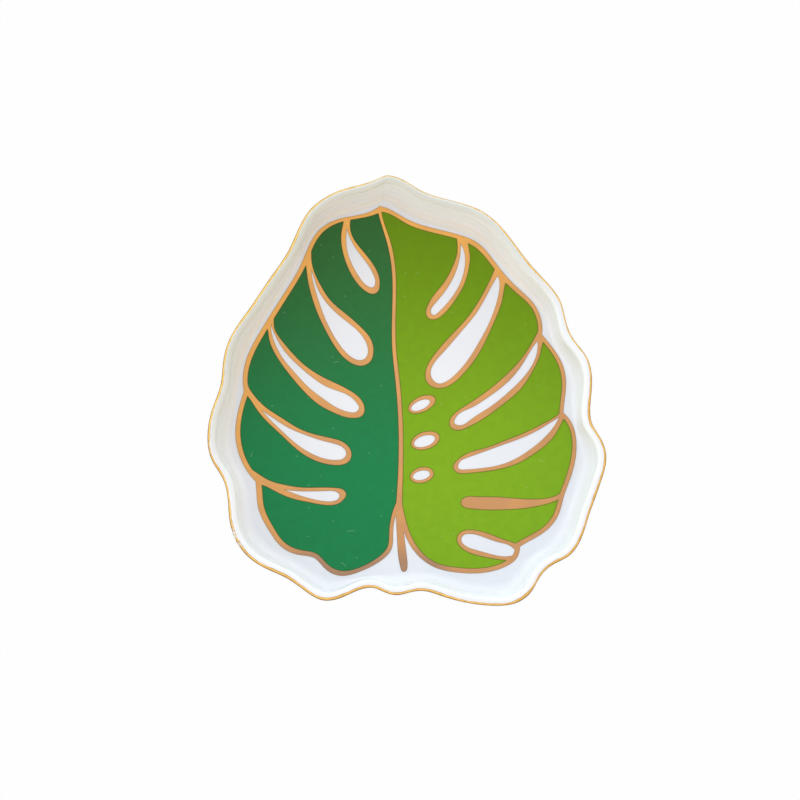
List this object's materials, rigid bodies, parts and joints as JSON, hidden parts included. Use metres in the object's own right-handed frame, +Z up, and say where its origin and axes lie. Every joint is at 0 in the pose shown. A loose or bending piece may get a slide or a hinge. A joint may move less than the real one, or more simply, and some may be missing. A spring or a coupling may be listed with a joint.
{
  "type": "ring dish",
  "caption": "Leaf-shaped porcelain ring dish with a wavy upright wall, a gilded lip and a split-leaf print in two greens and gold on its floor, for rings and small jewellery.",
  "frame": {"origin": "under the middle of the dish, in the plane that its foot ring stands on", "axes": "+Z up, +Y towards the tip of the leaf, +X to the right of someone who looks at the tip"},
  "size_m": [0.1114, 0.1208, 0.0181],
  "materials": {
    "porcelain": "bare biscuit porcelain, matt",
    "glaze": "clear glaze over white porcelain, glossy",
    "gilding": "burnished gold lustre, brushed on by hand",
    "print_gold": "satin gold print",
    "dark_green": "dark green enamel, glossy",
    "light_green": "yellow-green enamel, glossy"
  },
  "bodies": {
    "root": {"porcelain_body": "porcelain", "clear_glaze": "glaze", "lip_gilding": "gilding", "dark_green_enamel": "dark_green", "light_green_enamel": "light_green", "midrib_gold": "print_gold", "stalk_gold": "print_gold", "left_contour_gold": "print_gold", "right_contour_gold": "print_gold", "left_slit_gold_1": "print_gold", "left_slit_gold_2": "print_gold", "left_slit_gold_3": "print_gold", "left_slit_gold_4": "print_gold", "left_slit_gold_5": "print_gold", "right_slit_gold_1": "print_gold", "right_slit_gold_2": "print_gold", "right_slit_gold_3": "print_gold", "right_slit_gold_4": "print_gold", "right_slit_gold_5": "print_gold", "right_bar_gold": "print_gold", "hole_ring_gold_1": "print_gold", "hole_ring_gold_2": "print_gold", "hole_ring_gold_3": "print_gold"}
  },
  "joints": []
}
